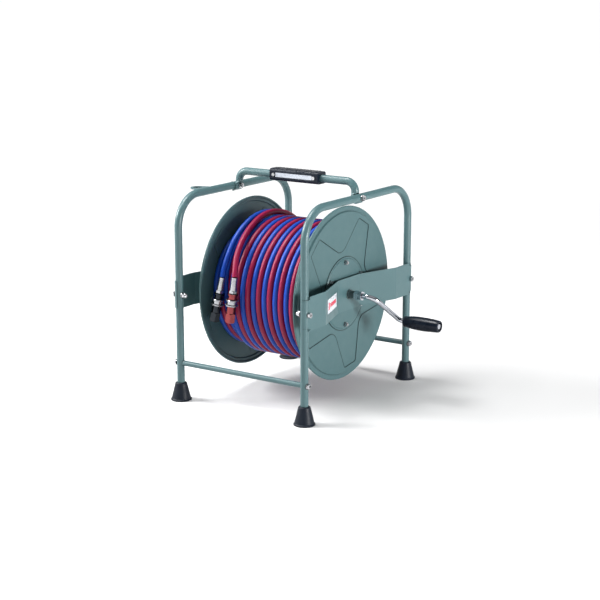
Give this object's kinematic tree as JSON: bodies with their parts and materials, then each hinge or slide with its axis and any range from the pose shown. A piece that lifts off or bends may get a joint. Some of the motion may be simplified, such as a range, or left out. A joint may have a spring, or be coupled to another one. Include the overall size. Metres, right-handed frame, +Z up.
{
  "type": "twin hose reel on a carry stand",
  "caption": "Hand-cranked reel of twin blue and red gas hose in a bent-tube stand with rubber feet, a carry grip and quick couplings on the hose ends.",
  "frame": {"origin": "on the floor, under the middle of the whole object's box; the reel's own middle plane is at x = -51.25 mm, because the crank stands out on one side", "axes": "+X along the drum's axis towards the crank, -Y is the front where the hose ends hang, +Z up"},
  "size_m": [0.5005, 0.4366, 0.4665],
  "materials": {
    "frame_paint": "grey-green gloss paint",
    "drum_paint": "grey-green gloss paint on pressed sheet",
    "foot_rubber": "moulded black rubber",
    "zinc_plate": "bright zinc plate",
    "bush_plastic": "natural nylon",
    "grip_plastic": "black moulded plastic",
    "name_strip": "satin strip with no lettering",
    "label": "white label with a plain red mark",
    "sleeve_finish": "dark grey-green paint",
    "chrome": "polished chrome plate",
    "blue_hose": "blue hose cover with a fine cloth mark",
    "red_hose": "crimson hose cover with a fine cloth mark",
    "coupling_plate": "bright nickel plate",
    "black_plate": "black nickel plate",
    "copper_plate": "copper-toned plate"
  },
  "bodies": {
    "stand": {"left_frame_tube": "frame_paint", "right_frame_tube": "frame_paint", "front_cross_bar": "frame_paint", "rear_cross_bar": "frame_paint", "left_front_foot": "foot_rubber", "left_rear_foot": "foot_rubber", "right_front_foot": "foot_rubber", "right_rear_foot": "foot_rubber", "left_bearing_plate": "frame_paint", "right_bearing_plate": "frame_paint", "plate_bolts": "zinc_plate", "plate_cap_nuts": "zinc_plate", "cross_bar_bolts": "zinc_plate", "cross_bar_washers": "zinc_plate", "left_bush": "bush_plastic", "right_bush": "bush_plastic", "carry_handle_tube": "frame_paint", "front_grip_shell": "grip_plastic", "rear_grip_shell": "grip_plastic", "grip_name_strip": "name_strip", "grip_screws": "zinc_plate", "handle_bolts": "zinc_plate", "handle_nuts": "zinc_plate", "handle_washers": "zinc_plate", "hook_eye": "frame_paint", "plate_label": "label"},
    "drum": {"drum_core": "drum_paint", "left_flange": "drum_paint", "right_flange": "drum_paint", "left_hub": "zinc_plate", "right_hub": "zinc_plate", "axle": "zinc_plate", "axle_end_nut": "zinc_plate", "axle_washer": "zinc_plate", "crank_sleeve": "sleeve_finish", "crank_nuts": "chrome", "crank_rod": "chrome", "grip_end_screw": "chrome", "flange_screws": "zinc_plate", "flange_nuts": "zinc_plate", "flange_washers": "zinc_plate", "hose_anchor": "zinc_plate", "hose_winding": "blue_hose", "blue_hose_end": "blue_hose", "red_hose_end": "red_hose", "blue_ferrule": "coupling_plate", "blue_hose_tail": "coupling_plate", "blue_socket": "black_plate", "red_ferrule": "coupling_plate", "red_hose_tail": "coupling_plate", "red_socket": "copper_plate"},
    "crank_handle": {"crank_grip": "grip_plastic"},
    "blue_ring": {"blue_slide_ring": "coupling_plate"},
    "blue_nut": {"blue_union_nut": "black_plate"},
    "red_ring": {"red_slide_ring": "coupling_plate"},
    "red_nut": {"red_union_nut": "copper_plate"}
  },
  "joints": [
    {"name": "drum_spin", "type": "hinge", "parent": "stand", "child": "drum", "pos_m": [-0.05125, 0, 0.2215], "axis": [1, 0, 0], "continuous": true},
    {"name": "crank_grip_spin", "type": "hinge", "parent": "drum", "child": "crank_handle", "pos_m": [0.20875, 0.07243, 0.16158], "axis": [1, 0, 0], "continuous": true},
    {"name": "blue_ring_slide", "type": "slide", "parent": "drum", "child": "blue_ring", "axis": [0.2146, 0.0358, 0.976], "range_m": [0, 0.004], "stiffness_N_per_m": 900, "springref_m": -0.002},
    {"name": "blue_nut_spin", "type": "hinge", "parent": "drum", "child": "blue_nut", "pos_m": [-0.14999, -0.14954, 0.17454], "axis": [-0.2146, -0.0358, -0.976], "continuous": true},
    {"name": "red_ring_slide", "type": "slide", "parent": "drum", "child": "red_ring", "axis": [0.1377, 0.0053, 0.9905], "range_m": [0, 0.004], "stiffness_N_per_m": 900, "springref_m": -0.002},
    {"name": "red_nut_spin", "type": "hinge", "parent": "drum", "child": "red_nut", "pos_m": [-0.10296, -0.16045, 0.18031], "axis": [-0.1377, -0.0053, -0.9905], "continuous": true}
  ]
}
